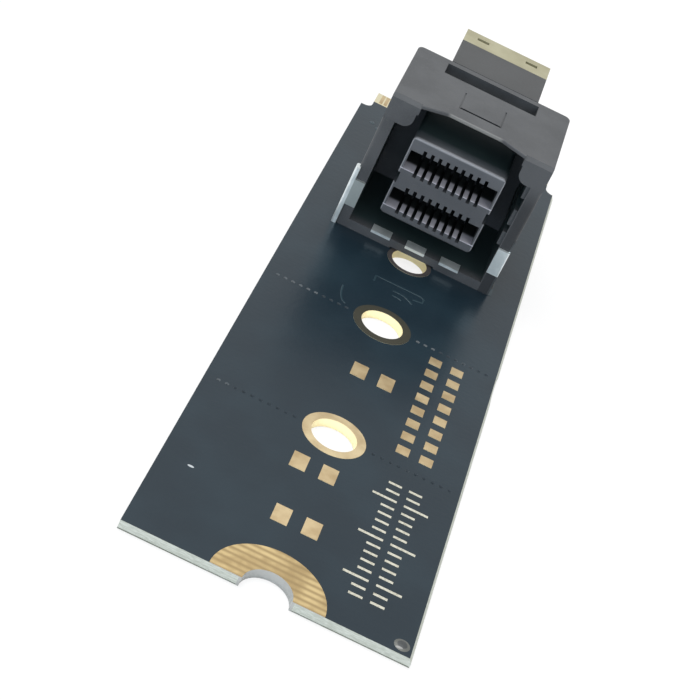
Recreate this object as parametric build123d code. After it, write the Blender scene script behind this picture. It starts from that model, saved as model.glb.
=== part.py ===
from build123d import *
import os

# Drive adapter card lying flat: an edge-connector board with a right-angle cable receptacle.
# Millimetres. X runs across the card, Y from the screw notch towards the gold edge, Z up.
# The origin is under the middle of the board, in the plane of its underside.

# Board outline and its keyed edge connector
card_width = 22.0
board_thickness = 0.8
tongue_inset = 1.075
tongue_length = 4.0
shoulder_fillet = 0.8
key_offset = 6.125
key_width = 1.2
key_depth = 3.5
edge_nick_depth = 0.12
edge_nick_length = 2.2
scored_width = 0.25
scored_depth = 0.5

# Gold edge fingers, odd numbers above and even numbers below, with the keyed ones left out
finger_edge_margin = 0.5
finger_pitch = 0.5
finger_width = 0.35
finger_length = 2.1
finger_setback = 0.15
key_clearance = 0.4

# Plating: how deep copper sits in the laminate, how far it stands out on top
copper_depth = 0.04
copper_proud = 0.02
barrel_wall = 0.2

# Plated holes for shorter card lengths, measured from the gold edge, and the notch beyond them
hole_radius = 1.9
covered_hole_radius = 1.7
hole_ring_radius = 2.65
covered_ring_radius = 2.15
notch_ring_radius = 4.35
hole_distances = {"60": 60.0, "42": 42.0, "30": 30.0}
notch_from_hole = 20.0
tin_spot_radius = 0.6
tin_spot_inset_x = 1.05
tin_spot_inset_y = 0.9
tin_spot_height = 0.12

# Breakaway lines: rows of drilled dimples beside the two outer holes
dimple_radius = 0.18
dimple_depth = 0.12
dimple_pitch = 0.72
dimple_edge_gap = 0.6
breakaway_holes = ("60", "42")

# Receptacle housing: its mouth faces the notch; heights are above the board
mouth_from_gold_edge = 29.2
housing_width = 15.5
housing_height = 14.1
housing_depth = 11.8
side_wall = 1.13
floor_thickness = 0.9
roof_thickness = 1.0
back_wall = 0.9
hood_overhang = 0.1
hood_recess = 0.95
recess_narrow_half = 2.5
recess_wide_half = 5.0
thin_edge = 0.3
undercut_length = 1.5
lip_width = 2.6
lip_drop = 1.55
lip_depth = 1.2
lip_round = 0.9
lip_top_slope = 0.35
hood_corner_round = 0.6
edge_round = 0.12
wall_edge_round = 0.25

# Latch window through the roof and the panel groove in front of it
window_width = 9.2
window_length = 2.3
groove_width = 0.3
groove_depth = 0.25
groove_leg_width = 0.14
groove_leg_depth = 0.08
panel_width = 4.0
panel_length = 3.6
panel_setback = 2.9

# Core block with two card slots, each with contact grooves above and below
core_width = 9.0
core_bottom = 3.0
core_height = 8.1
core_corner = 0.4
core_edge_round = 0.12
core_waist_depth = 0.25
core_waist_height = 1.1
slot_width = 8.5
slot_height = 1.95
slot_pitch = 4.0
slot_floor = 3.85
slot_depth = 6.0
contact_count = 9
contact_rows = 4
contact_pitch = 0.75
groove_slit = 0.32
ceiling_groove = 0.45
floor_groove = 0.4

# Key ribs on the right inner wall, as pairs of lower and upper heights
key_rib_proud = 0.35
key_rib_setback = 0.3
key_rib_levels = ((5.0, 6.4), (7.2, 8.8), (10.1, 11.6))

# Tail of the housing over the wafers, and the clip that closes it
tail_width = 8.8
tail_length = 5.8
tail_wall = 0.9
clip_length = 3.0
clip_wall = 1.0
clip_slot_length = 1.2
clip_slot_width = 0.55
clip_slot_depth = 0.6
clip_slot_spacing = 5.1
clip_foot_gap = 2.2

# Contact wafers, with four stamped contacts in each
wafer_thickness = 0.65
wafer_lift = 0.9
wafer_end_gap = 0.1
contact_thickness = 0.2
contact_strip = 0.3
contact_tip_setback = 3.6
contact_bump = 0.25
contact_bump_length = 1.6
first_tail = 1.6
tail_pitch = 1.7
foot_length = 0.7
foot_pad_margin = 0.08

# Sheet metal hold-downs on both sides and three flat tabs in the floor of the mouth
plate_thickness = 0.15
plate_length = 3.0
plate_height = 6.1
rolled_edge_width = 0.45
rolled_edge_length = 0.6
rolled_edge_round = 0.2
front_tab_thickness = 0.3
front_tab_bottom = 2.25
front_tab_height = 2.65
front_tab_round = 0.12
plate_pad_margin = 0.1
floor_tab_count = 3
floor_tab_width = 1.92
floor_tab_pitch = 3.42
floor_tab_length = 1.25
floor_tab_thickness = 0.25
floor_tab_gap = 0.03
floor_tab_barb = 0.35
ring_relief_depth = 0.15
ring_relief_margin = 0.2

# Bare copper test pads, unpopulated footprints and the printed tick marks, placed from the
# right edge of the card, the holes and the notch
test_pad_size = 1.1
test_pad_pitch = 2.0
test_pad_columns = 2
test_pad_rows = 8
test_pad_inset = 4.6
test_pad_from_hole = 8.8
footprint_pad = (1.3, 2.0)
footprint_gap = 1.1
footprint_offsets = (1.0, -0.4, 0.0)
footprint_from_inner_hole = 8.1
footprint_from_outer_hole = 5.0
footprint_from_notch = 8.2
tick_inset = 4.4
tick_from_notch = 10.6
tick_count = 15
tick_group = 5
tick_pitch = 1.0
tick_width = 0.25
tick_short = 1.1
tick_long = 2.0
tick_column_gap = 0.6
ink_thickness = 0.02

# How far a cutting shape runs on past the face it opens
past = 1.0

# Places worked out from the sizes above
half_width = card_width / 2
half_length = (hole_distances["60"] + notch_from_hole) / 2
hole_radii = {"60": hole_radius, "42": hole_radius, "30": covered_hole_radius}
tongue_half = half_width - tongue_inset
finger_side_count = int((tongue_half - finger_edge_margin) / finger_pitch)
finger_count = 4 * finger_side_count + 3
top = board_thickness
pad_top = top + copper_proud
mouth = half_length - mouth_from_gold_edge
hood_front = mouth - hood_overhang
cavity_back = mouth + housing_depth - back_wall
housing_back = mouth + housing_depth
tail_back = housing_back + tail_length
clip_back = tail_back + clip_length
roof_top = top + housing_height
roof_under = roof_top - roof_thickness
floor_top = top + floor_thickness
inner_half = housing_width / 2 - side_wall
wafer_bottom = top + wafer_lift
wafer_back = clip_back - clip_wall - wafer_end_gap


def block(x_range, y_range, z_range):
    """A box given by its lowest and highest value on each axis."""
    size = [high - low for low, high in (x_range, y_range, z_range)]
    centre = [(high + low) / 2 for low, high in (x_range, y_range, z_range)]
    return Pos(*centre) * Box(*size)


def disc(radius, x, y, z_range):
    """An upright round bar."""
    low, high = z_range
    return Pos(x, y, (low + high) / 2) * Cylinder(radius, high - low)


def top_pad(x, y, width, length):
    """A rectangular copper pad let into the top face of the board."""
    return block((x - width / 2, x + width / 2), (y - length / 2, y + length / 2),
                 (top - copper_depth, pad_top))


def save(node, *solids):
    """Writes one named piece, or one group of like pieces, to its own file."""
    shape = solids[0] if len(solids) == 1 else Compound(children=list(solids))
    export_step(shape, f"parts/{node}.step")


def contact_x(index):
    """Where a contact column stands across the receptacle."""
    return (index - (contact_count - 1) / 2) * contact_pitch


def hole_y(distance):
    """The place of a plated hole, from its distance to the gold edge."""
    return half_length - distance


def slot_floor_z(level):
    """The floor height of the lower (0) or upper (1) card slot."""
    return top + slot_floor + level * slot_pitch


def tail_y(row):
    """Where a row of contacts turns down to the board, shortest contact first."""
    return housing_back + first_tail + row * tail_pitch


def plated_hole(radius, ring_radius, x, y):
    """Barrel and both rings of a plated hole, as one piece of copper."""
    outer = disc(radius + barrel_wall, x, y, (0, pad_top))
    upper = disc(ring_radius, x, y, (top - copper_depth, pad_top))
    lower = disc(ring_radius, x, y, (0, copper_depth))
    return (outer + upper + lower) - disc(radius, x, y, (-past, top + past))


def notch_plating():
    """The half ring round the screw notch, on both faces and down the notch wall."""
    ring = plated_hole(hole_radius, notch_ring_radius, 0, -half_length)
    half = block((-half_width, half_width), (-half_length, 0), (-past, top + past))
    return ring & half


def finger_x(number):
    """Place of a numbered edge finger: the middle number stands on the centre line."""
    return (number - (finger_count + 1) / 2) * finger_pitch / 2


def edge_fingers(first, z_range):
    """Every second edge finger from the first number, leaving out the keyed ones."""
    y_range = (half_length - finger_setback - finger_length, half_length - finger_setback)
    numbers = [n for n in range(first, finger_count + 1, 2)
               if abs(finger_x(n) - key_offset) > key_width / 2 + key_clearance]
    return [block((finger_x(n) - finger_width / 2, finger_x(n) + finger_width / 2), y_range, z_range)
            for n in numbers]


def test_pads():
    """A field of bare square pads."""
    pads = []
    for row in range(test_pad_rows):
        for column in range(test_pad_columns):
            x = half_width - test_pad_inset + (column - (test_pad_columns - 1) / 2) * test_pad_pitch
            y = (hole_y(hole_distances["42"]) - test_pad_from_hole
                 + (row - (test_pad_rows - 1) / 2) * test_pad_pitch)
            pads.append(top_pad(x, y, test_pad_size, test_pad_size))
    return pads


def spare_footprints():
    """Pairs of pads for parts that this version of the card leaves off."""
    width, length = footprint_pad
    reach = (footprint_gap + width) / 2
    places = (hole_y(hole_distances["42"]) - footprint_from_inner_hole,
              hole_y(hole_distances["60"]) - footprint_from_outer_hole,
              footprint_from_notch - half_length)
    return [top_pad(x + side * reach, y, width, length)
            for x, y in zip(footprint_offsets, places) for side in (-1, 1)]


def tick_marks():
    """Two columns of printed ticks, every fifth one longer, lying on the board."""
    ticks = []
    for index in range(tick_count):
        y = tick_from_notch - half_length + (index - (tick_count - 1) / 2) * tick_pitch
        length = tick_long if index % tick_group == tick_group // 2 else tick_short
        for side in (-1, 1):
            near = half_width - tick_inset + side * tick_column_gap / 2
            far = near + side * length
            ticks.append(block((min(near, far), max(near, far)),
                               (y - tick_width / 2, y + tick_width / 2),
                               (top, top + ink_thickness)))
    return ticks


def tin_spot():
    """A low dome of solder on a round pad in the corner beside the notch end."""
    x = half_width - tin_spot_inset_x
    y = -half_length + tin_spot_inset_y
    dome_radius = (tin_spot_radius ** 2 + tin_spot_height ** 2) / (2 * tin_spot_height)
    ball = Pos(x, y, top + tin_spot_height - dome_radius) * Sphere(dome_radius)
    return ball & disc(tin_spot_radius, x, y, (top - copper_depth, top + past))


def contact_pads():
    """One pad under each contact foot."""
    return [top_pad(contact_x(index), tail_y(row) + foot_length / 2,
                    contact_thickness + 2 * foot_pad_margin, foot_length + 2 * foot_pad_margin)
            for index in range(contact_count) for row in range(contact_rows)]


def plate_pads():
    """The solder pads under the side hold-downs."""
    middle = (housing_width + rolled_edge_width) / 2 - plate_thickness
    return [top_pad(side * middle, mouth + plate_length / 2,
                    rolled_edge_width, plate_length - 2 * plate_pad_margin)
            for side in (-1, 1)]


def floor_tab_x(index):
    """Place of a floor tab across the mouth, counted from the left."""
    return (index - (floor_tab_count - 1) / 2) * floor_tab_pitch


def breakaway_dimples():
    """Shallow drill points in line with a hole, from its ring out to both edges."""
    start = hole_ring_radius + dimple_pitch
    end = half_width - dimple_edge_gap
    count = int((end - start) / dimple_pitch) + 1
    return [Pos(side * (start + step * dimple_pitch), hole_y(hole_distances[label]), top - dimple_depth / 2)
            * Cone(dimple_radius / 2, dimple_radius, dimple_depth)
            for label in breakaway_holes for side in (-1, 1) for step in range(count)]


def scored_edge():
    """The slant that scoring and snapping leaves along the upper right edge of the card."""
    slant = [(half_width - scored_width, top), (half_width, top - scored_depth),
             (half_width + past, top - scored_depth), (half_width + past, top + past),
             (half_width - scored_width, top + past)]
    return extrude(Plane.XZ * make_face(Polyline(*slant, close=True)), half_length + past, both=True)


def circuit_board(inlays):
    """The routed laminate, drilled, and pocketed for every pad that is let into it."""
    outline = Rectangle(card_width, 2 * half_length)
    for side in (-1, 1):
        x = side * (half_width - tongue_inset / 2)
        outline -= Pos(x, half_length - tongue_length / 2) * Rectangle(tongue_inset, tongue_length)
    inside = outline.vertices().group_by(Axis.Y)[1].sort_by(Axis.X)[1:-1]
    outline = fillet(inside, shoulder_fillet)
    key_end = half_length - key_depth + key_width / 2
    outline -= Pos(key_offset, (half_length + key_end) / 2) * Rectangle(key_width, half_length - key_end)
    outline -= Pos(key_offset, key_end) * Circle(key_width / 2)
    nick_y = hole_y(hole_distances["42"])
    outline -= Pos(half_width, nick_y - edge_nick_length / 2) * Ellipse(edge_nick_depth, edge_nick_length)
    board = extrude(outline, board_thickness)
    drilled = [disc(hole_radii[label] + barrel_wall, 0, hole_y(distance), (-past, top + past))
               for label, distance in hole_distances.items()]
    drilled.append(disc(hole_radius + barrel_wall, 0, -half_length, (-past, top + past)))
    return board - scored_edge() - drilled - breakaway_dimples() - inlays


def shroud():
    """The walls and floor round the mouth, closed at the back and open above."""
    half = housing_width / 2
    walls = block((-half, half), (mouth, housing_back), (top, roof_under))
    walls = fillet(walls.edges().filter_by(Axis.Z).group_by(Axis.Y)[0], wall_edge_round)
    walls = fillet(walls.edges().filter_by(Axis.Z).group_by(Axis.Y)[-1], hood_corner_round)
    cavity = block((-inner_half, inner_half), (mouth - past, cavity_back), (floor_top, roof_under))
    ribs = [block((inner_half - key_rib_proud, inner_half), (mouth + key_rib_setback, cavity_back),
                  (top + low, top + high)) for low, high in key_rib_levels]
    return walls - cavity + ribs


def hood_outline():
    """Plan of the roof: recessed in the middle of its front edge, with slanting ends."""
    half = housing_width / 2
    back = mouth + hood_recess
    right = [(recess_narrow_half, back), (recess_wide_half, hood_front),
             (half, hood_front), (half, housing_back)]
    left = [(-x, y) for x, y in reversed(right)]
    return make_face(Polyline(*right, *left, close=True))


def hood_lip(side):
    """A lip hanging from one front corner of the roof, rounded at its inner bottom corner."""
    half = housing_width / 2
    lip = block((half - lip_width, half), (hood_front, hood_front + lip_depth),
                (roof_under - lip_drop, roof_under))
    inner = lip.edges().filter_by(Axis.Y).group_by(Axis.Z)[0].sort_by(Axis.X)[0]
    lip = fillet([inner], lip_round)
    return lip if side > 0 else mirror(lip, about=Plane.YZ)


def lip_slope(side):
    """The wedge that takes the sharp top edge off the roof above a lip."""
    wedge = make_face(Polyline((hood_front - past, roof_top - lip_top_slope - past),
                               (hood_front - past, roof_top + past),
                               (hood_front + lip_top_slope + past, roof_top + past), close=True))
    solid = extrude(Plane.YZ * wedge, housing_width / 2 - recess_wide_half + past)
    solid = Pos(recess_wide_half, 0, 0) * solid
    return solid if side > 0 else mirror(solid, about=Plane.YZ)


def hood_undercut():
    """What thins the front edge of the roof from below, between the two lips."""
    front = mouth + hood_recess
    thin = roof_top - thin_edge
    profile = make_face(Polyline((hood_front - past, roof_under), (hood_front - past, thin), (front, thin),
                                 (front + undercut_length, roof_under), close=True))
    return extrude(Plane.YZ * profile, recess_wide_half, both=True)


def hood():
    """The roof plate with its two lips."""
    plate = Pos(0, 0, roof_under) * extrude(hood_outline(), roof_thickness)
    rear = plate.edges().filter_by(Axis.Z).group_by(Axis.Y)[-1]
    plate = fillet(rear, hood_corner_round)
    plate = fillet(plate.edges().group_by(Axis.Z)[-1], edge_round) - hood_undercut()
    for side in (-1, 1):
        plate = plate + hood_lip(side) - lip_slope(side)
    return plate


def roof_cuts():
    """The latch window through the roof and the groove that frames the panel before it."""
    window = block((-window_width / 2, window_width / 2), (cavity_back - window_length, cavity_back),
                   (roof_under - edge_round, roof_top + past))
    front = mouth + panel_setback
    half = panel_width / 2
    groove = block((-half, half), (front, front + groove_width), (roof_top - groove_depth, roof_top + past))
    legs = [block((side * half - groove_leg_width / 2, side * half + groove_leg_width / 2),
                  (front, front + panel_length), (roof_top - groove_leg_depth, roof_top + past))
            for side in (-1, 1)]
    return [window, groove] + legs


def core_block():
    """The block in the middle of the mouth, waisted between its two slots."""
    half = core_width / 2
    low = top + core_bottom
    high = low + core_height
    core = block((-half, half), (mouth, cavity_back), (low, high))
    core = fillet(core.edges().filter_by(Axis.Y), core_corner)
    face = core.faces().sort_by(Axis.Y)[0]
    core = fillet(face.edges(), core_edge_round)
    waist = slot_floor_z(0) + slot_height + (slot_pitch - slot_height) / 2
    for side in (-1, 1):
        inner = side * (half - core_waist_depth)
        core -= block((min(inner, side * core_width), max(inner, side * core_width)),
                      (mouth - past, cavity_back),
                      (waist - core_waist_height / 2, waist + core_waist_height / 2))
    return core


def slot_cuts():
    """The two card slots and the grooves that the contact beams lie in."""
    cuts = []
    for level in (0, 1):
        low = slot_floor_z(level)
        high = low + slot_height
        cuts.append(block((-slot_width / 2, slot_width / 2), (mouth - past, mouth + slot_depth), (low, high)))
        for index in range(contact_count):
            x_range = (contact_x(index) - groove_slit / 2, contact_x(index) + groove_slit / 2)
            cuts.append(block(x_range, (mouth - past, housing_back), (low - floor_groove, low)))
            cuts.append(block(x_range, (mouth - past, housing_back), (high, high + ceiling_groove)))
    return cuts


def tail_cover():
    """The narrow channel that runs on behind the housing, over the wafers."""
    half = tail_width / 2
    shell = block((-half, half), (housing_back, tail_back), (top, roof_top))
    bay = block((-half + tail_wall, half - tail_wall), (housing_back, tail_back), (top, roof_under))
    return shell - bay


def floor_tab_shape(x, gap):
    """A flat strip with a barb turned down at its inner end, grown by a gap all round."""
    half = floor_tab_width / 2 + gap
    back = mouth + floor_tab_length + gap
    under = floor_top - floor_tab_thickness
    flat = block((x - half, x + half), (mouth - gap, back), (under, floor_top + gap))
    barb = block((x - half, x + half), (back - floor_tab_thickness - 2 * gap, back),
                 (under - floor_tab_barb - gap, under))
    return flat + barb


def floor_tab(index):
    """A flat tab let into the floor of the mouth."""
    return floor_tab_shape(floor_tab_x(index), 0)


def floor_tab_seat(index):
    """The pocket and slit that a floor tab is pressed into."""
    return floor_tab_shape(floor_tab_x(index), floor_tab_gap)


def ring_relief():
    """Clearance under the floor for the ring of the plated hole that it covers."""
    return disc(covered_ring_radius + ring_relief_margin, 0, hole_y(hole_distances["30"]),
                (top, top + ring_relief_depth))


def plate_seats():
    """The pockets in the outside of both walls that the hold-downs' plates lie in."""
    far = housing_width / 2
    pocket = block((far - plate_thickness, far + past), (mouth - past, mouth + plate_length),
                   (top, top + plate_height))
    return [pocket, mirror(pocket, about=Plane.YZ)]


def connector_housing():
    """The whole moulding: walls, hood, core block and tail."""
    body = shroud() + hood() + core_block() + tail_cover()
    seats = [floor_tab_seat(index) for index in range(floor_tab_count)]
    return body - roof_cuts() - slot_cuts() - seats - plate_seats() - ring_relief()


def contact_profile(row):
    """Outline of one contact in the YZ plane, as a path: beam, bend, leg and foot."""
    level, upper = divmod(row, 2)
    face = slot_floor_z(level) + (slot_height if upper else 0)
    groove = ceiling_groove if upper else -floor_groove
    beam_z = face + groove / 2
    bump_z = face - contact_bump * (1 if upper else -1)
    tip_y = mouth + contact_tip_setback
    down_y = tail_y(row)
    foot_z = pad_top + contact_strip / 2
    return [(tip_y, beam_z), (tip_y + contact_bump_length / 2, bump_z), (tip_y + contact_bump_length, beam_z),
            (down_y, beam_z), (down_y, foot_z), (down_y + foot_length, foot_z)]


def contact(index, row):
    """One stamped contact: a strip of even width following its path in the YZ plane."""
    points = contact_profile(row)
    path = Polyline(*points)
    strip = trace(path, line_width=contact_strip)
    x = contact_x(index)
    solid = extrude(Plane.YZ * strip, contact_thickness / 2, both=True)
    return Pos(x, 0, 0) * solid


def wafer_contacts(index):
    """The four contacts of one wafer, shortest first."""
    return [contact(index, row) for row in range(contact_rows)]


def contact_wafer(index):
    """A moulded plate that carries four contacts, let in line to line."""
    x = contact_x(index)
    plate = block((x - wafer_thickness / 2, x + wafer_thickness / 2), (housing_back, wafer_back),
                  (wafer_bottom, roof_under))
    return plate - wafer_contacts(index)


def rear_clip():
    """The pale clip behind the tail: a roof with two slots, two cheeks and a rear wall."""
    half = tail_width / 2
    shell = block((-half, half), (tail_back, clip_back), (top, roof_top))
    bay = block((-half + tail_wall, half - tail_wall), (tail_back, clip_back - clip_wall), (top, roof_under))
    way_out = block((-half + tail_wall, half - tail_wall), (tail_back, clip_back + past),
                    (top, top + clip_foot_gap))
    slots = [block((side * clip_slot_spacing / 2 - clip_slot_length / 2,
                    side * clip_slot_spacing / 2 + clip_slot_length / 2),
                   (clip_back - clip_wall - clip_slot_width, clip_back - clip_wall),
                   (roof_top - clip_slot_depth, roof_top + past)) for side in (-1, 1)]
    return shell - bay - way_out - slots


def hold_down(side):
    """A thin plate let into the outside of the wall, standing on its pad, with a tab folded over
    the front of the wall. The left one's front edge is rolled thick, down to the pad."""
    far = housing_width / 2
    near = far - plate_thickness
    plate = block((near, far), (mouth, mouth + plate_length), (pad_top, top + plate_height))
    tab = block((far - side_wall, far), (mouth - front_tab_thickness, mouth),
                (top + front_tab_bottom, top + front_tab_bottom + front_tab_height))
    outer = tab.edges().filter_by(Axis.Z).group_by(Axis.Y)[0].sort_by(Axis.X)[-1]
    piece = plate + fillet([outer], front_tab_round)
    if side > 0:
        return piece
    rolled = block((near, near + rolled_edge_width),
                   (mouth - front_tab_thickness, mouth + rolled_edge_length), (pad_top, top + plate_height))
    outer_edges = rolled.edges().filter_by(Axis.Z).group_by(Axis.X)[-1]
    return mirror(piece + fillet(outer_edges, rolled_edge_round), about=Plane.YZ)


def main():
    os.makedirs("parts", exist_ok=True)
    fingers_above = edge_fingers(1, (top - copper_depth, pad_top))
    fingers_below = edge_fingers(2, (0, copper_depth))
    ring_radii = {"60": hole_ring_radius, "42": hole_ring_radius, "30": covered_ring_radius}
    rings = {label: plated_hole(hole_radii[label], ring_radii[label], 0, hole_y(distance))
             for label, distance in hole_distances.items()}
    notch = notch_plating()
    spot = tin_spot()
    pads = {
        "contact_pads": contact_pads(),
        "hold_down_pads": plate_pads(),
        "test_pads": test_pads(),
        "spare_footprints": spare_footprints(),
    }
    inlays = fingers_above + fingers_below + list(rings.values()) + [notch, spot]
    for group in pads.values():
        inlays = inlays + group

    save("circuit_board", circuit_board(inlays))
    save("edge_fingers_top", *fingers_above)
    save("edge_fingers_bottom", *fingers_below)
    save("notch_plating", notch)
    save("corner_tin_spot", spot)
    for label, ring in rings.items():
        save(f"plated_hole_{label}mm", ring)
    for node, group in pads.items():
        save(node, *group)
    save("legend_ticks", *tick_marks())
    save("connector_housing", connector_housing())
    save("rear_clip", rear_clip())
    for index in range(contact_count):
        save(f"contact_wafer_{index + 1}", contact_wafer(index))
        save(f"wafer_contacts_{index + 1}", *wafer_contacts(index))
    for side, label in ((-1, "left"), (1, "right")):
        save(f"hold_down_{label}", hold_down(side))
    for index, label in enumerate(("left", "middle", "right")):
        save(f"floor_tab_{label}", floor_tab(index))


main()
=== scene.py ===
import bpy
import numpy as np
from mathutils import Matrix


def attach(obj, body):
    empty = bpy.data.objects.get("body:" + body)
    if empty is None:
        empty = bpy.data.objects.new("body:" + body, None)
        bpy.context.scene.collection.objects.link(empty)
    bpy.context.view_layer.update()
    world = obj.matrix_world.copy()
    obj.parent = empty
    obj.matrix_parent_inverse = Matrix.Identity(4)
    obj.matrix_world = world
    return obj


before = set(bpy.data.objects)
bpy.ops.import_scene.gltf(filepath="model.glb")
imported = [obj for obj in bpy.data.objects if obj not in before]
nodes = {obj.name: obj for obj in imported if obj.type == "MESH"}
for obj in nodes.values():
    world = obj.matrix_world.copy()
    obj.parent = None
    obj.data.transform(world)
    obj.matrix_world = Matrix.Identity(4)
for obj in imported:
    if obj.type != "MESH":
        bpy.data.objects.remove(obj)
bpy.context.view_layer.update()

# The view: a long lens held low over the notch end of the card and rolled a little, so that
# the card runs away from it up the frame and the receptacle stands near the top.
view_across = (0.90032, 0.21935, 0.37590)
view_up = (-0.43495, 0.48368, 0.75952)
view_back = (-0.01522, -0.84731, 0.53088)
eye = bpy.data.cameras.new("eye")
eye.sensor_width = 36.0
eye.lens = 95.25
eye.clip_start = 0.01
eye_object = bpy.data.objects.new("eye", eye)
eye_object.matrix_world = Matrix([
    (view_across[0], view_up[0], view_back[0], -0.003921),
    (view_across[1], view_up[1], view_back[1], -0.137101),
    (view_across[2], view_up[2], view_back[2], 0.081766),
    (0, 0, 0, 1)])
bpy.context.scene.collection.objects.link(eye_object)
bpy.context.scene.camera = eye_object
bpy.context.scene.view_settings.view_transform = "Standard"


class Wire:
    """A socket in a material. Arithmetic on it adds Math nodes, and node() adds any other one."""

    def __init__(self, tree, socket=None):
        self.tree = tree
        self.socket = socket

    def node(self, kind, sockets=None, output=0, stops=None, **settings):
        """A node of one type: its settings are set first, then its sockets' values or links."""
        made = self.tree.nodes.new("ShaderNode" + kind)
        for name, value in settings.items():
            setattr(made, name, value)
        for place, colour in stops or []:
            stop = made.color_ramp.elements.new(place)
            stop.color = (*colour, 1.0)
        if stops:
            made.color_ramp.elements.remove(made.color_ramp.elements[0])
            made.color_ramp.elements.remove(made.color_ramp.elements[-1])
        for name, value in (sockets or {}).items():
            if isinstance(value, Wire):
                self.tree.links.new(value.socket, made.inputs[name])
            else:
                made.inputs[name].default_value = value
        return Wire(self.tree, made.outputs[output])

    def sum_of(self, operation, a, b=0.0):
        return self.node("Math", {0: a, 1: b}, operation=operation)

    def __add__(self, other):
        return self.sum_of("ADD", self, other)

    def __radd__(self, other):
        return self.sum_of("ADD", other, self)

    def __sub__(self, other):
        return self.sum_of("SUBTRACT", self, other)

    def __rsub__(self, other):
        return self.sum_of("SUBTRACT", other, self)

    def __mul__(self, other):
        return self.sum_of("MULTIPLY", self, other)

    def __rmul__(self, other):
        return self.sum_of("MULTIPLY", other, self)

    def __truediv__(self, other):
        return self.sum_of("DIVIDE", self, other)

    def __abs__(self):
        return self.sum_of("ABSOLUTE", self)

    def __mod__(self, other):
        return self.sum_of("FLOORED_MODULO", self, other)

    def ramp(self, low, high):
        """0 below low and 1 above high, with a smooth rise between them."""
        return self.node("MapRange", {"Value": self, "From Min": low, "From Max": high},
                         interpolation_type="SMOOTHSTEP")

    def fall(self, low, high):
        """1 below low and 0 above high, with a smooth fall between them."""
        return 1 - self.ramp(low, high)

    def between(self, low, high, soft):
        """1 between low and high and 0 outside, with soft borders."""
        return self.ramp(low - soft, low + soft) * self.fall(high - soft, high + soft)

    def within(self, half, soft):
        """1 nearer zero than half, to either side, and 0 beyond, with soft borders."""
        return abs(self).fall(half - soft, half + soft)


# The floor and the light round it: a plain white sweep in a white room, with a big soft lamp
# above and two weaker ones in front, the lower of them bluish. None of it is part of the card.
def rows_of_quads(rows, columns, closed_across=False, start=0):
    """Quads between neighbouring points of a grid, numbered row by row."""
    across = columns if closed_across else columns - 1
    row, column = np.meshgrid(np.arange(rows - 1), np.arange(across), indexing="ij")
    after = (column + 1) % columns
    corners = [row * columns + column, row * columns + after,
               (row + 1) * columns + after, (row + 1) * columns + column]
    return np.stack(corners, axis=-1).reshape(-1, 4) + start


floor_reach, floor_steps, floor_level = 1.2, 9, -0.00002
floor_line = np.linspace(-floor_reach, floor_reach, floor_steps)
floor_u, floor_v = np.meshgrid(floor_line, floor_line, indexing="ij")
floor_points = np.stack([floor_u, floor_v, 0 * floor_u + floor_level], axis=-1).reshape(-1, 3)
floor_quads = rows_of_quads(floor_steps, floor_steps)[:, ::-1]
floor_mesh = bpy.data.meshes.new("floor")
floor_mesh.from_pydata(floor_points.tolist(), [], floor_quads.tolist())
floor = bpy.data.objects.new("floor", floor_mesh)
bpy.context.scene.collection.objects.link(floor)


def empty_finish(name):
    """A material with nothing in it but its output."""
    material = bpy.data.materials.new(name)
    material.use_nodes = True
    material.node_tree.nodes.clear()
    return material, Wire(material.node_tree)


def show(wire, shader):
    """Puts a shader on the output of its material or world."""
    kind = "World" if wire.tree is bpy.context.scene.world.node_tree else "Material"
    output = wire.tree.nodes.new("ShaderNodeOutput" + kind)
    wire.tree.links.new(shader.socket, output.inputs["Surface"])


world = bpy.data.worlds.new("white room")
bpy.context.scene.world = world
world.use_nodes = True
world.node_tree.nodes.clear()

# The floor gives off a share of its white in straight view. The room lights the card at one
# level, and is brighter where it is seen, mirrored or looked at through something.
floor_glow, room_level, room_extra = 0.75, 0.5, 0.45
paper, wire = empty_finish("white_sweep")
seen_straight = wire.node("LightPath", output="Is Camera Ray")
matt = wire.node("BsdfPrincipled", {"Base Color": (0.94, 0.94, 0.94, 1), "Roughness": 0.9,
                                    "Specular IOR Level": 0.2})
white = wire.node("Emission", {"Color": (1, 1, 1, 1), "Strength": 1.0})
show(wire, wire.node("MixShader", {0: seen_straight * floor_glow, 1: matt, 2: white}))
floor_mesh.materials.append(paper)

room = Wire(world.node_tree)
straight = room.node("LightPath", output="Is Camera Ray")
mirrored = room.node("LightPath", output="Is Glossy Ray")
passed = room.node("LightPath", output="Is Transmission Ray")
shown = room.sum_of("MINIMUM", straight + mirrored + passed, 1.0)
strength = shown * room_extra + room_level
show(room, room.node("Background", {"Color": (1, 1, 1, 1), "Strength": strength}))


def soft_lamp(name, place, target, size, watts, tint=(1, 1, 1)):
    """A square lamp facing a point."""
    light = bpy.data.lights.new(name, "AREA")
    light.shape = "SQUARE"
    light.size = size
    light.energy = watts
    light.color = tint
    lamp = bpy.data.objects.new(name, light)
    away = np.subtract(place, target)
    away = away / np.linalg.norm(away)
    side = np.cross((0, 0, 1), away)
    side = side / np.linalg.norm(side)
    turn = np.stack([side, np.cross(away, side), away], axis=1)
    lamp.matrix_world = Matrix.Translation(place) @ Matrix(turn.tolist()).to_4x4()
    bpy.context.scene.collection.objects.link(lamp)


soft_lamp("overhead", (-0.12, 0.10, 0.50), (0, 0, 0), 0.40, 2.2)
soft_lamp("front", (0.30, -0.45, 0.35), (0, 0, 0), 0.35, 0.7)
soft_lamp("low_front", (-0.10, -0.50, 0.13), (0, 0, 0.008), 0.30, 0.9, (0.62, 0.80, 1.0))

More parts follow.
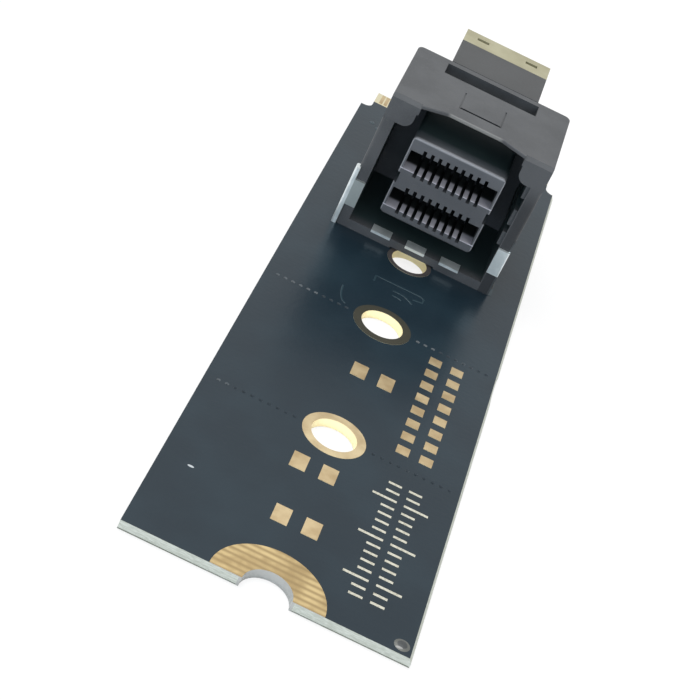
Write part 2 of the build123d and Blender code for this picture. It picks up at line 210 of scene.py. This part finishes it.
# The card itself: glass laminate 0.8 mm thick with a satin blue-black mask on both faces. Its
# routed sides and drill points show the pale laminate, and the tongue is bare between fingers.
mask_dark = (0.0095, 0.0205, 0.0300)
mask_light = (0.0125, 0.0265, 0.0375)
laminate_pale = (0.58, 0.60, 0.54)
laminate_deep = (0.42, 0.44, 0.38)
mm = 0.001
mask_end = 37.585 * mm
breakaway_lines = (-20.0 * mm, -2.0 * mm)
drill_reach = 0.3 * mm


def spot(wire, output):
    """One coordinate of the surface in the card's own frame, in metres."""
    place = wire.node("TexCoord", output="Object")
    return wire.node("SeparateXYZ", {0: place}, output=output)


def blend(wire, share, first, second):
    """A colour between two, by a share from 0 to 1."""
    ends = [value if isinstance(value, Wire) else (*value, 1.0) for value in (first, second)]
    return wire.node("Mix", {0: share, 6: ends[0], 7: ends[1]}, output=2, data_type="RGBA")


def grain(wire, size, detail=2.0, stretch=(1, 1, 1)):
    """Cloudy variation from 0 to 1, with features about as large as size."""
    place = wire.node("TexCoord", output="Object")
    drawn = wire.node("Mapping", {"Vector": place, "Scale": stretch})
    return wire.node("TexNoise", {"Vector": drawn, "Scale": 1 / size, "Detail": detail})


def finish(wire, colour, roughness, height=None, depth=0.0, metallic=0.0, specular=0.5):
    """The shader of one finish, with an optional bump of a height map's depth in metres."""
    sockets = {"Base Color": colour, "Roughness": roughness, "Metallic": metallic,
               "Specular IOR Level": specular}
    if height is not None:
        bump = {"Strength": 1.0, "Distance": depth, "Height": height}
        sockets["Normal"] = wire.node("Bump", bump)
    show(wire, wire.node("BsdfPrincipled", sockets))


def dress(material, *names):
    """Gives CAD nodes their finish."""
    for name in names:
        nodes[name].data.materials.clear()
        nodes[name].data.materials.append(material)


def upward_share(wire):
    """0 on upright and steep faces and 1 on level ones."""
    facing = wire.node("NewGeometry", output="Normal")
    return abs(wire.node("SeparateXYZ", {0: facing}, output="Z")).ramp(0.70, 0.85)


def patch(x, y, centre, half_size):
    """1 inside a small upright oval on the board and 0 outside, from its middle and half sizes."""
    across = (x - centre[0] * mm) / (half_size[0] * mm)
    along = (y - centre[1] * mm) / (half_size[1] * mm)
    return (across * across + along * along).fall(0.6, 1.0)


solder_mask, wire = empty_finish("solder_mask_on_laminate")
x, y, z = [spot(wire, axis) for axis in "XYZ"]
cut_side = 1 - upward_share(wire)
clouds = grain(wire, 6 * mm)
fibres = grain(wire, 0.12 * mm, 3.0, (0.25, 0.25, 2.0))
# Dark mask skin along the cut sides' edges; the lower band is widened to 0.1 mm as a painted
# contact shadow.
mask_skin_and_contact_shadow = 1 - z.between(0.10 * mm, 0.785 * mm, 0.012 * mm)
outer_row, inner_row = [y.between(line - drill_reach, line + drill_reach, 0.05 * mm)
                        for line in breakaway_lines]
inboard = x.within(10.575 * mm, 0.025 * mm)
in_hole = x.within(2.35 * mm, 0.05 * mm)
drill_point = (outer_row + inner_row) * inboard * (1 - in_hole)
chalky = grain(wire, 1.7 * mm, 0.0).ramp(0.50, 0.66)
mask_colour = blend(wire, clouds.ramp(0.35, 0.7), mask_dark, mask_light)
flaws = patch(x, y, (-8.55, -31.3), (0.28, 0.13)) + patch(x, y, (7.7, -8.0), (0.16, 0.10))
mask_colour = blend(wire, flaws * 0.8, mask_colour, (0.62, 0.66, 0.68))
laminate = blend(wire, fibres.ramp(0.3, 0.7), laminate_deep, laminate_pale)
side_colour = blend(wire, mask_skin_and_contact_shadow * 0.8, laminate, (0.10, 0.11, 0.08))
drill_colour = blend(wire, chalky, (0.038, 0.050, 0.060), (0.130, 0.145, 0.155))
side_colour = blend(wire, drill_point, side_colour, drill_colour)
bare_tongue = y.ramp(mask_end - 0.035 * mm, mask_end + 0.035 * mm)
colour = blend(wire, bare_tongue, mask_colour, (0.60, 0.55, 0.38))
colour = blend(wire, cut_side, colour, side_colour)
weave = grain(wire, 0.35 * mm, 1.0, (1, 0.5, 1)) + grain(wire, 0.35 * mm, 1.0, (0.5, 1, 1))
roughness = 0.27 + 0.05 * clouds + 0.45 * cut_side + 0.2 * bare_tongue
finish(wire, colour, roughness, weave, 0.006 * mm, specular=0.27)
dress(solder_mask, "circuit_board")

# Bare copper with a thin coat of gold: the fingers, the pads and the rings and barrels of the
# holes. Gold laid in a bath is satin, with faint clouds and fine wear.
ring_light, ring_deep = (0.66, 0.54, 0.33), (0.52, 0.40, 0.23)
pad_light, pad_deep = (0.53, 0.42, 0.25), (0.42, 0.31, 0.17)
# Hole walls carry the same gold as the rings; their pale cream is a painted reflection of the
# white room.
barrel_painted_sheen = (0.98, 0.88, 0.58)


def gold_finish(name, light, deep, rough, barrel=barrel_painted_sheen, line_pitch=None):
    """Satin gold on level faces, and another colour down the wall of a hole. Faint lines can
    run across the card at an even pitch."""
    material, wire = empty_finish(name)
    clouds = grain(wire, 1.5 * mm, 3.0)
    wear = grain(wire, 0.08 * mm, 2.0, (1, 0.15, 1))
    colour = blend(wire, clouds.ramp(0.3, 0.7), deep, light)
    height = wear
    if line_pitch:
        phase = abs((spot(wire, "Y") / line_pitch) % 1.0 - 0.5)
        line = phase.fall(0.02, 0.42)
        colour = blend(wire, line * 0.9, colour, [0.8 * value for value in deep])
        height = wear - line
    colour = blend(wire, upward_share(wire), barrel, colour)
    finish(wire, colour, rough + 0.12 * clouds, height, 0.003 * mm, metallic=0.85)
    return material


ring_gold = gold_finish("satin_gold", ring_light, ring_deep, 0.30)
dress(ring_gold, "plated_hole_60mm")
pad_gold = gold_finish("flat_gold", pad_light, pad_deep, 0.36)
dress(pad_gold, "edge_fingers_top", "edge_fingers_bottom", "contact_pads", "test_pads",
      "spare_footprints")

# The half ring that the screw head presses on. Its gold is laid over hidden copper lines, which
# show through it as faint stripes across the card. Its wall is bare of gold and silvery.
notch_gold = gold_finish("striped_gold", (0.57, 0.44, 0.225), (0.40, 0.29, 0.140), 0.32,
                         (0.42, 0.43, 0.42), 0.62 * mm)
dress(notch_gold, "notch_plating")

# The rings of the two inner holes have a thin skin of mask over their gold, so they are dull and
# brownish, the one by the receptacle a little redder. Their bare gold walls are bright, painted a
# pale cream sheen.
dull_gold, wire = empty_finish("dulled_gold")
ring_face = upward_share(wire)
by_receptacle = spot(wire, "Y").ramp(4 * mm, 5 * mm)
skin = blend(wire, by_receptacle, (0.060, 0.058, 0.042), (0.105, 0.092, 0.088))
colour = blend(wire, ring_face, barrel_painted_sheen, skin)
finish(wire, colour, 0.3 + 0.12 * grain(wire, 1.5 * mm), metallic=0.85 - 0.45 * ring_face)
dress(dull_gold, "plated_hole_42mm", "plated_hole_30mm")

# Copper lines under the mask, from the receptacle's feet out to the fingers. They are etched
# copper, so the mask stands up a hair over them and is a little lighter there. Low trim is
# rooted a few microns down in the board.
board_top = 0.8 * mm
root_level = -0.004 * mm
ridge_corners = 4
wafer_count = 9
wafer_pitch = 0.75 * mm


def piece(name, points, faces, material, smooth=False):
    """A mesh made from whole arrays of points and faces, riding on the card."""
    mesh = bpy.data.meshes.new(name)
    mesh.from_pydata(points.reshape(-1, 3).tolist(), [], faces)
    mesh.materials.append(material)
    mesh.polygons.foreach_set("use_smooth", [smooth] * len(mesh.polygons))
    made = bpy.data.objects.new(name, mesh)
    bpy.context.scene.collection.objects.link(made)
    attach(made, "root")
    return made


def ridge(path, width, height, shoulder):
    """A closed ridge along a path on the board. Its section is a low trapezium: at each point
    of the path four corners stand off to both sides of it, square to the way the path runs."""
    along = np.gradient(path, axis=0)
    along = along / np.linalg.norm(along, axis=1, keepdims=True)
    side = np.stack([along[:, 1], -along[:, 0]], axis=1)
    reach = np.array([-width / 2 - shoulder, -width / 2, width / 2, width / 2 + shoulder])
    rise = np.array([root_level, height, height, root_level])
    ground = path[:, None, :] + reach[None, :, None] * side[:, None, :]
    level = np.broadcast_to(board_top + rise, ground.shape[:2])
    return np.concatenate([ground, level[..., None]], axis=-1)


def ridge_faces(count, start):
    """The four long sides and the two ends of a ridge of that many steps."""
    sides = rows_of_quads(count, ridge_corners, True, start).tolist()
    last = start + ridge_corners * (count - 1)
    return sides + [[start + 3, start + 2, start + 1, start], [last, last + 1, last + 2, last + 3]]


def several_ridges(name, paths, width, height, material):
    """Many ridges as one piece."""
    points, faces, start = [], [], 0
    for path in paths:
        rows = ridge(path, width, height, 0.03 * mm)
        faces += ridge_faces(len(rows), start)
        points.append(rows.reshape(-1, 3))
        start += ridge_corners * len(rows)
    return piece(name, np.concatenate(points), faces, material)


def fan_path(start_x, end_x, first_y, turn_y, last_y, steps=41, eased_over=5):
    """Straight back, aslant at 45 degrees, and straight on, with its two bends eased by a
    running mean over a few points of the path."""
    shift = abs(end_x - start_x)
    distance = np.linspace(first_y, last_y, steps)
    slant = np.clip((distance - turn_y) / max(shift, 1e-6), 0, 1)
    across = start_x + (end_x - start_x) * slant
    padded = np.pad(across, eased_over // 2, mode="edge")
    eased = np.convolve(padded, np.ones(eased_over) / eased_over, mode="valid")
    return np.stack([eased, distance], axis=1)


over_copper, wire = empty_finish("mask_over_copper")
clouds = grain(wire, 6 * mm)
colour = blend(wire, clouds.ramp(0.35, 0.7), (0.022, 0.044, 0.056), (0.030, 0.054, 0.066))
finish(wire, colour, 0.27 + 0.05 * clouds, specular=0.27)
columns = (np.arange(wafer_count) - (wafer_count - 1) / 2) * wafer_pitch
pair_half = 0.16 * mm
finger_shift = 0.125 * mm
fan_start, fan_turn, fan_end = 30.2 * mm, 33.0 * mm, 37.5 * mm
starts = np.sort(np.concatenate([columns - pair_half, columns + pair_half]))
targets = (np.arange(len(starts)) - (len(starts) - 1) / 2) * wafer_pitch + finger_shift
turns = fan_turn - np.abs(targets - starts) * 0.4
fan = [fan_path(a, b, fan_start, t, fan_end) for a, b, t in zip(starts, targets, turns)]
several_ridges("covered_lines_to_fingers", fan, 0.15 * mm, 0.018 * mm, over_copper)

# A few more covered lines lie in front of the receptacle, round the two inner holes.
arc = np.linspace(0, np.pi / 2, 9)
forward_paths = [
    np.array([(-2.2, 4.2), (-2.2, 5.2), (-1.5, 5.2), (-0.2, 5.2), (1.1, 5.2), (2.2, 5.2),
              (2.5, 4.9), (2.5, 4.3), (1.6, 4.1)]) * mm,
    np.array([(-0.3, 4.05), (0.2, 4.05), (0.8, 4.0), (1.2, 3.7), (1.7, 3.3)]) * mm,
    np.array([(-0.2, 3.3), (0.3, 3.25), (0.7, 3.1)]) * mm,
    np.stack([(-3.6 - 0.85 * np.sin(arc)) * mm, (-1.4 + 2.6 * (1 - np.cos(arc))) * mm], axis=1),
]
several_ridges("covered_lines_forward", forward_paths, 0.13 * mm, 0.014 * mm, over_copper)

# Small plated holes closed over by the mask, among the lines to the fingers. Each shows as a
# low ring with a dent.
seeded = np.random.default_rng(11)
via_count, via_steps = 34, 10
via_x = seeded.uniform(-9.6, 9.6, via_count)
via_y = seeded.uniform(31.9, 36.6, via_count)
ring_turn = np.arange(via_steps) * 2 * np.pi / via_steps
ring_radius = np.array([0.30, 0.24, 0.15, 0.07]) * mm
ring_rise = np.array([-0.004, 0.016, 0.014, 0.002]) * mm


def via_rings(centres_x, centres_y):
    """For every via, four rings of ten points: outer foot, crest, inner crest and dent."""
    x = centres_x[:, None, None] + ring_radius[None, :, None] * np.cos(ring_turn)
    y = centres_y[:, None, None] + ring_radius[None, :, None] * np.sin(ring_turn)
    z = np.broadcast_to((board_top + ring_rise)[None, :, None], x.shape)
    return np.stack([x, y, z], axis=-1)


away_from_clip = ~((np.abs(via_x) < 4.9) & (via_y < 32.2))
via_x, via_y = via_x[away_from_clip] * mm, via_y[away_from_clip] * mm
via_faces = []
via_size = len(ring_radius) * via_steps
for number in range(len(via_x)):
    start, end = number * via_size, (number + 1) * via_size
    via_faces += rows_of_quads(len(ring_radius), via_steps, True, start).tolist()
    via_faces += [list(range(end - via_steps, end)),
                  list(range(start + via_steps - 1, start - 1, -1))]
piece("covered_vias", via_rings(via_x, via_y), via_faces, over_copper, smooth=True)

# Solder, bright and a little wrinkled by cooling.
solder, wire = empty_finish("cooled_solder")
wrinkles = grain(wire, 0.18 * mm, 3.0)
colour = blend(wire, wrinkles.ramp(0.3, 0.7), (0.42, 0.43, 0.43), (0.70, 0.71, 0.71))
finish(wire, colour, 0.28 + 0.15 * wrinkles, wrinkles, 0.01 * mm, metallic=1.0)

# The corner spot's solder is dull from handling and darker in its middle, with a painted highlight
# along its front.
dull_tin, wire = empty_finish("dulled_tin")
wrinkles = grain(wire, 0.18 * mm, 3.0)
x, y = spot(wire, "X"), spot(wire, "Y")
centre = patch(x, y, (9.95, -39.1), (0.42, 0.42))
# A painted highlight along the spot's front.
front_highlight = patch(x, y, (9.80, -39.48), (0.30, 0.10))
colour = blend(wire, centre, (0.110, 0.115, 0.105), (0.045, 0.050, 0.052))
colour = blend(wire, front_highlight, colour, (0.24, 0.24, 0.23))
finish(wire, colour, 0.38 + 0.15 * wrinkles, wrinkles, 0.02 * mm, metallic=0.25)
dress(dull_tin, "corner_tin_spot")

# Cream ink of the scale marks, screened on over the mask: matt, thinner and darker in places.
ink, wire = empty_finish("cream_ink")
speckle = grain(wire, 0.15 * mm, 3.0)
finish(wire, blend(wire, speckle.ramp(0.25, 0.6), (0.36, 0.34, 0.26), (0.60, 0.58, 0.48)), 0.75,
       speckle, 0.004 * mm)
dress(ink, "legend_ticks")

# The receptacle's body: one black moulding of glass-filled heat-proof plastic. Its skin is a
# fine matt spark texture, with soft flow clouds and a little pale dust. The tail is darker.
body_black, wire = empty_finish("spark_textured_black")
flow = grain(wire, 4 * mm, 3.0)
spark = grain(wire, 0.09 * mm, 2.0)
fleck = grain(wire, 0.25 * mm, 2.0).ramp(0.66, 0.74)
x, y, z = [spot(wire, axis) for axis in "XYZ"]
hair = 0.02 * mm
colour = blend(wire, flow.ramp(0.3, 0.7), (0.036, 0.040, 0.045), (0.062, 0.067, 0.073))
colour = blend(wire, spark.ramp(0.35, 0.65) * 0.22, colour, (0.10, 0.10, 0.10))
colour = blend(wire, fleck * 0.25, colour, (0.14, 0.14, 0.14))
tail = y.ramp(22.5 * mm, 22.7 * mm)
colour = blend(wire, tail * 0.5, colour, (0.022, 0.023, 0.022))

# Painted shade darkens its cavity, the groove round the roof's panel and the right wall's front.
cavity_shade = x.within(6.64 * mm, hair) * z.between(1.66 * mm, 13.85 * mm, hair)
cavity_shade = cavity_shade * y.ramp(10.9 * mm, 12.6 * mm) * y.fall(21.6 * mm, 21.7 * mm)
colour = blend(wire, cavity_shade * 0.9, colour, (0.018, 0.038, 0.040))
groove_shade = x.within(2.075 * mm, 0.025 * mm) * y.between(13.68 * mm, 14.04 * mm, 0.01 * mm)
groove_shade = groove_shade * z.between(14.5 * mm, 14.86 * mm, hair)
colour = blend(wire, groove_shade * 0.9, colour, (0.006, 0.007, 0.008))
right_wall_shade = x.ramp(6.68 * mm, 6.72 * mm) * z.fall(10.0 * mm, 12.5 * mm)
colour = blend(wire, right_wall_shade * 0.75, colour, (0.008, 0.010, 0.013))

# The core block's face is painted paler by painted front light, most of all its brow, with
# painted highlights on its upper and side edges and painted light on its slots' floor fronts.
# Painted shade darkens the slots inwards.
core = x.within(4.55 * mm, 0.05 * mm) * y.fall(12.2 * mm, 12.8 * mm)
core = core * z.between(3.7 * mm, 12.1 * mm, 0.05 * mm)
brow = z.between(10.75 * mm, 11.95 * mm, 0.1 * mm)
# A painted highlight on the core's top-front and side edges.
edge_highlight = z.between(11.72 * mm, 11.95 * mm, 0.05 * mm) * y.fall(11.05 * mm, 11.2 * mm)
edge_highlight = edge_highlight + abs(x).ramp(4.38 * mm, 4.42 * mm) * y.fall(10.9 * mm, 11.0 * mm)
lower_slot = z.between(4.2 * mm, 7.1 * mm, hair)
upper_slot = z.between(8.2 * mm, 11.1 * mm, hair)
slot_shade = x.within(4.30 * mm, hair) * (lower_slot + upper_slot)
floor_front_highlight = z.between(4.60 * mm, 4.70 * mm, hair) + z.between(8.60 * mm, 8.70 * mm, hair)
floor_front_highlight = floor_front_highlight * y.fall(12.0 * mm, 12.8 * mm)
colour = blend(wire, core * 0.25, colour, (0.135, 0.145, 0.165))
colour = blend(wire, core * brow * 0.15, colour, (0.135, 0.145, 0.165))
colour = blend(wire, core * edge_highlight * 0.7, colour, (0.30, 0.31, 0.33))
colour = blend(wire, slot_shade * y.ramp(11.0 * mm, 12.4 * mm), colour, (0.006, 0.008, 0.008))
colour = blend(wire, core * floor_front_highlight * 0.85, colour, (0.55, 0.54, 0.60))

# The hood's thin front edge catches the light in its middle.
lip_line = z.between(14.55 * mm, 14.89 * mm, hair) * x.within(2.55 * mm, 0.25 * mm)
lip_line = lip_line * y.fall(11.82 * mm, 11.90 * mm)
colour = blend(wire, lip_line * 0.8, colour, (0.22, 0.22, 0.21))
finish(wire, colour, 0.48 + 0.10 * flow + 0.06 * spark, spark, 0.010 * mm)
dress(body_black, "connector_housing")

# The nine moulded wafers stand side by side in the tail, each holding four contacts.
wafer_black, wire = empty_finish("wafer_black")
spark = grain(wire, 0.12 * mm, 2.0)
finish(wire, (0.026, 0.027, 0.030, 1), 0.55 + 0.1 * spark, spark, 0.006 * mm)
dress(wafer_black, *[f"contact_wafer_{number + 1}" for number in range(wafer_count)])

# The contacts are stamped from copper alloy strip and gold plated, with faint drawing lines
# along the strip. Their beams in the slots are painted dark, rough and unmetallic as painted
# shade.
contact_gold, wire = empty_finish("plated_contact")
drawn = grain(wire, 0.10 * mm, 2.0, (4, 0.2, 4))
colour = blend(wire, drawn.ramp(0.3, 0.7), (0.66, 0.50, 0.27), (0.82, 0.65, 0.38))
# Painted shade on the beams inside the slots.
beam_shade = spot(wire, "Y").fall(16 * mm, 19 * mm)
colour = blend(wire, beam_shade, colour, (0.010, 0.011, 0.012))
roughness = 0.26 + 0.12 * drawn + 0.3 * beam_shade
finish(wire, colour, roughness, drawn, 0.002 * mm, metallic=1 - beam_shade)
dress(contact_gold, *[f"wafer_contacts_{number + 1}" for number in range(wafer_count)])

# The clip that shuts the tail: natural nylon, tan, slightly cloudy, satin from a polished mould.
natural_nylon, wire = empty_finish("natural_nylon")
cloud = grain(wire, 2.5 * mm, 2.0)
pores = grain(wire, 0.15 * mm, 2.0)
colour = blend(wire, cloud.ramp(0.3, 0.7), (0.29, 0.27, 0.165), (0.36, 0.34, 0.22))
finish(wire, colour, 0.42 + 0.1 * pores, pores, 0.006 * mm)
dress(natural_nylon, "rear_clip")

# Hold-downs and floor tabs: sheet steel, blanked and tin plated, satin with rolling lines. The
# left tab over the wall's front is darker than the rest, and painted shade darkens the right
# plate's front edge nearly black.
tinned, wire = empty_finish("tinned_steel")
rolled = grain(wire, 0.12 * mm, 3.0, (1, 0.2, 1))
dulled = grain(wire, 1.2 * mm, 2.0)
x, y, z = [spot(wire, axis) for axis in "XYZ"]
colour = blend(wire, dulled.ramp(0.35, 0.7), (0.60, 0.66, 0.66), (0.74, 0.79, 0.79))
# The left tab over the wall's front is darker than the rest.
darker_left_tab = x.between(-7.62 * mm, -6.0 * mm, 0.03 * mm) * y.fall(10.75 * mm, 10.8 * mm)
colour = blend(wire, darker_left_tab, colour, (0.37, 0.41, 0.40))
# Painted shade darkens the right plate's front edge.
right_edge_shade = x.ramp(7.50 * mm, 7.55 * mm) * (1 - z.between(3.0 * mm, 5.75 * mm, 0.03 * mm))
right_edge_shade = right_edge_shade * y.fall(11.0 * mm, 11.6 * mm)
colour = blend(wire, right_edge_shade * 0.92, colour, (0.04, 0.045, 0.05))
finish(wire, colour, 0.30 + 0.14 * dulled, rolled, 0.004 * mm, metallic=0.55)
dress(tinned, "hold_down_left", "hold_down_right", "floor_tab_left", "floor_tab_middle",
      "floor_tab_right")

# Solder at the contact feet: it wets each pad and climbs the foot in a hollow curve.
foot_half = (0.10 * mm, 0.35 * mm)
pad_half = (0.17 * mm, 0.42 * mm)
pad_top = board_top + 0.012 * mm
first_foot, foot_pitch, foot_rows = 24.55 * mm, 1.7 * mm, 4
foot_y = first_foot + foot_pitch * np.arange(foot_rows)
feet_x, feet_y = [value.ravel() for value in np.meshgrid(columns, foot_y)]
climb = np.linspace(0, 1, 5)
joint_steps, squareness = 12, 0.4
turn = np.arange(joint_steps) * 2 * np.pi / joint_steps


def wetted(half_in, half_out, centres_x, centres_y, low, high):
    """Rings of a squared oval, shrinking from the pad's edge to the foot's side while the height
    climbs with the cube of the way in."""
    half = np.array(half_out)[:, None] + (np.array(half_in) - np.array(half_out))[:, None] * climb
    square_x = np.sign(np.cos(turn)) * np.abs(np.cos(turn)) ** squareness
    square_y = np.sign(np.sin(turn)) * np.abs(np.sin(turn)) ** squareness
    x = centres_x[:, None, None] + half[0][None, :, None] * square_x
    y = centres_y[:, None, None] + half[1][None, :, None] * square_y
    z = np.broadcast_to((low + (high - low) * climb ** 3)[None, :, None], x.shape)
    return np.stack([x, y, z], axis=-1)


def wetted_faces(count):
    """The sides of every joint, closed below and above."""
    faces = []
    for number in range(count):
        start = number * len(climb) * len(turn)
        end = start + (len(climb) - 1) * len(turn)
        faces += rows_of_quads(len(climb), len(turn), True, start).tolist()
        faces += [list(range(start + len(turn) - 1, start - 1, -1)),
                  list(range(end, end + len(turn)))]
    return faces


foot_joints = wetted(foot_half, pad_half, feet_x, feet_y, pad_top, board_top + 0.20 * mm)
piece("foot_solder", foot_joints, wetted_faces(len(feet_x)), solder, smooth=True)

# Solder along the foot of both hold-downs: a low bead, dulled by flux, on pads whose ends are
# closed over by the mask.
dress(over_copper, "hold_down_pads")
dull_solder, wire = empty_finish("fluxed_solder")
wrinkles = grain(wire, 0.18 * mm, 3.0)
finish(wire, blend(wire, wrinkles, (0.030, 0.034, 0.034), (0.060, 0.064, 0.062)),
       0.45 + 0.15 * wrinkles, wrinkles, 0.01 * mm, metallic=0.3)
bead_crest = (0.03 * mm, 0.60 * mm)
bead_foot = (0.14 * mm, 0.95 * mm)
bead_x = np.array([-7.90, 7.90]) * mm
bead_y = np.array([13.00, 13.00]) * mm
beads = wetted(bead_crest, bead_foot, bead_x, bead_y, pad_top, board_top + 0.22 * mm)
piece("hold_down_solder", beads, wetted_faces(len(bead_x)), dull_solder, smooth=True)
